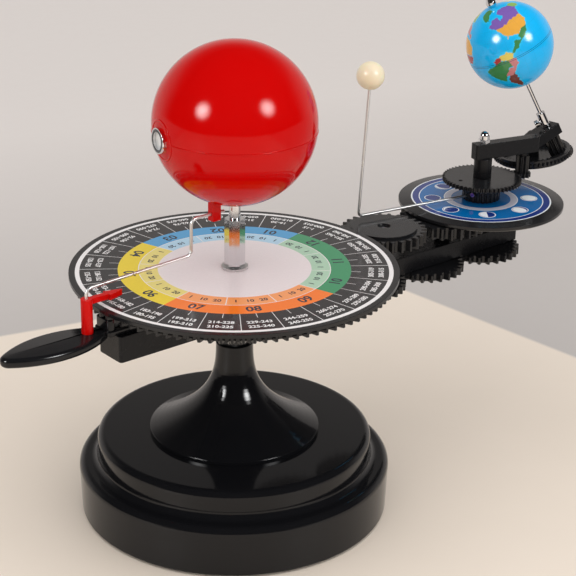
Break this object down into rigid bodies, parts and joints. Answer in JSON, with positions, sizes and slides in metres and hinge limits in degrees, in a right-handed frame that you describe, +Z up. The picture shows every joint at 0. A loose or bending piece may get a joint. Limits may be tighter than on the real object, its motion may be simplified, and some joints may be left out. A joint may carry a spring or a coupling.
{
  "type": "tellurion",
  "caption": "Desktop tellurion with a red lamp Sun, a season dial, a geared arm, a Moon phase disc, a tilted Earth globe and a Moon ball on a black pedestal.",
  "frame": {"origin": "centre of the foot pad's underside, on the dial's axis", "axes": "+X along the arm from the Sun to the Earth at rest, +Z up along the Sun's post"},
  "size_m": [0.4694, 0.204, 0.3048],
  "materials": {
    "black_plastic": "gloss",
    "dark_plastic": "matte",
    "red_plastic": "gloss",
    "chrome_steel": "polished",
    "zinc_steel": "brushed",
    "bush_brass": "satin",
    "pad_foam": "matte",
    "dial_print": "gloss",
    "phase_print": "gloss",
    "globe_print": "gloss",
    "ivory_plastic": "satin",
    "clear_plastic": "clear",
    "cell_wrap": "gloss"
  },
  "bodies": {
    "base": {"base_shell": "black_plastic", "pedestal_column": "black_plastic", "bottom_cover": "dark_plastic", "foot_pad": "pad_foam", "cover_screws_set": "zinc_steel", "spindle": "zinc_steel", "spindle_nut": "zinc_steel", "column_nut": "chrome_steel", "fixed_center_gear": "black_plastic", "dial_plate": "black_plastic", "dial_face": "dial_print", "post_washer": "chrome_steel", "hex_post": "chrome_steel", "sun_pin": "zinc_steel"},
    "arm": {"arm_head": "black_plastic", "arm_beam": "black_plastic", "arm_posts": "black_plastic", "arm_bush": "bush_brass", "shaft_bush": "bush_brass", "handle": "black_plastic", "arm_screws": "zinc_steel", "pointer": "red_plastic", "link_wire": "chrome_steel", "gear_axles": "zinc_steel", "moon_disc": "black_plastic", "moon_phase_face": "phase_print"},
    "gear_a": {"gear_a": "black_plastic"},
    "gear_b": {"gear_b": "black_plastic"},
    "idler_1": {"idler_1": "black_plastic"},
    "idler_2": {"idler_2": "black_plastic"},
    "gear_c": {"gear_c": "black_plastic"},
    "moon": {"moon_pinion": "black_plastic", "moon_drum": "black_plastic", "moon_gear": "black_plastic", "moon_set_screw": "chrome_steel", "moon_wire": "chrome_steel", "moon_ball": "ivory_plastic"},
    "earth_carrier": {"gear_d": "black_plastic", "earth_shaft": "zinc_steel", "earth_column": "black_plastic", "earth_bracket": "black_plastic", "acorn_nut": "chrome_steel", "bracket_axles": "zinc_steel"},
    "step_pinion": {"step_pinion": "black_plastic"},
    "ring_gear": {"ring_gear": "black_plastic"},
    "earth": {"earth_pinion": "black_plastic", "axis_rod": "chrome_steel", "axis_collar": "chrome_steel", "thumb_screw": "chrome_steel", "globe_north": "globe_print", "globe_south": "globe_print", "globe_finial": "chrome_steel"},
    "sun": {"sun_upper_shell": "red_plastic", "sun_lower_shell": "red_plastic", "lamp_bezel": "chrome_steel", "lamp_lens": "clear_plastic", "lamp_reflector": "chrome_steel", "battery_holder": "dark_plastic", "batteries": "cell_wrap"},
    "lamp_switch": {"lamp_switch": "dark_plastic"}
  },
  "joints": [
    {"name": "arm_orbit", "type": "hinge", "parent": "base", "child": "arm", "pos_m": [0, 0, 0.1274], "axis": [0, 0, 1], "continuous": true},
    {"name": "gear_a_turn", "type": "hinge", "parent": "arm", "child": "gear_a", "pos_m": [0.125, 0, 0.155], "axis": [0, 0, 1], "continuous": true},
    {"name": "gear_b_turn", "type": "hinge", "parent": "arm", "child": "gear_b", "pos_m": [0.18, 0, 0.152], "axis": [0, 0, 1], "continuous": true},
    {"name": "moon_orbit", "type": "hinge", "parent": "arm", "child": "moon", "pos_m": [0.216, 0, 0.165], "axis": [0, 0, 1], "continuous": true},
    {"name": "idler_1_turn", "type": "hinge", "parent": "arm", "child": "idler_1", "pos_m": [0.054, 0, 0.1245], "axis": [0, 0, 1], "continuous": true},
    {"name": "idler_2_turn", "type": "hinge", "parent": "arm", "child": "idler_2", "pos_m": [0.108, 0, 0.1245], "axis": [0, 0, 1], "continuous": true},
    {"name": "gear_c_turn", "type": "hinge", "parent": "arm", "child": "gear_c", "pos_m": [0.162, 0, 0.1245], "axis": [0, 0, 1], "continuous": true},
    {"name": "earth_carrier_turn", "type": "hinge", "parent": "arm", "child": "earth_carrier", "pos_m": [0.216, 0, 0.135], "axis": [0, 0, 1], "continuous": true},
    {"name": "step_pinion_turn", "type": "hinge", "parent": "earth_carrier", "child": "step_pinion", "pos_m": [0.24691, -0.00828, 0.1758], "axis": [0, 0, 1], "continuous": true},
    {"name": "ring_gear_turn", "type": "hinge", "parent": "earth_carrier", "child": "ring_gear", "pos_m": [0.27472, 0.00713, 0.17981], "axis": [-0.1167, 0.0758, 0.9903], "continuous": true},
    {"name": "earth_spin", "type": "hinge", "parent": "earth_carrier", "child": "earth", "pos_m": [0.28225, -0.00862, 0.18395], "axis": [-0.3807, 0.2473, 0.891], "continuous": true},
    {"name": "sun_turn", "type": "hinge", "parent": "base", "child": "sun", "pos_m": [0, 0, 0.215], "axis": [0, 0, 1], "continuous": true},
    {"name": "lamp_switch_slide", "type": "slide", "parent": "sun", "child": "lamp_switch", "axis": [0, 1, 0], "range_m": [0, 0.004]}
  ],
  "couplings": [
    {"joint": "gear_a_turn", "follows": "arm_orbit", "ratio": 3.6296},
    {"joint": "gear_b_turn", "follows": "arm_orbit", "ratio": -3.5},
    {"joint": "moon_orbit", "follows": "arm_orbit", "ratio": 12.25},
    {"joint": "idler_1_turn", "follows": "arm_orbit", "ratio": 1},
    {"joint": "idler_2_turn", "follows": "arm_orbit", "ratio": -1},
    {"joint": "gear_c_turn", "follows": "arm_orbit", "ratio": 1},
    {"joint": "earth_carrier_turn", "follows": "arm_orbit", "ratio": -1},
    {"joint": "step_pinion_turn", "follows": "arm_orbit", "ratio": -63.841},
    {"joint": "ring_gear_turn", "follows": "arm_orbit", "ratio": 9.286},
    {"joint": "earth_spin", "follows": "arm_orbit", "ratio": 42.715},
    {"joint": "sun_turn", "follows": "arm_orbit", "ratio": 1}
  ]
}
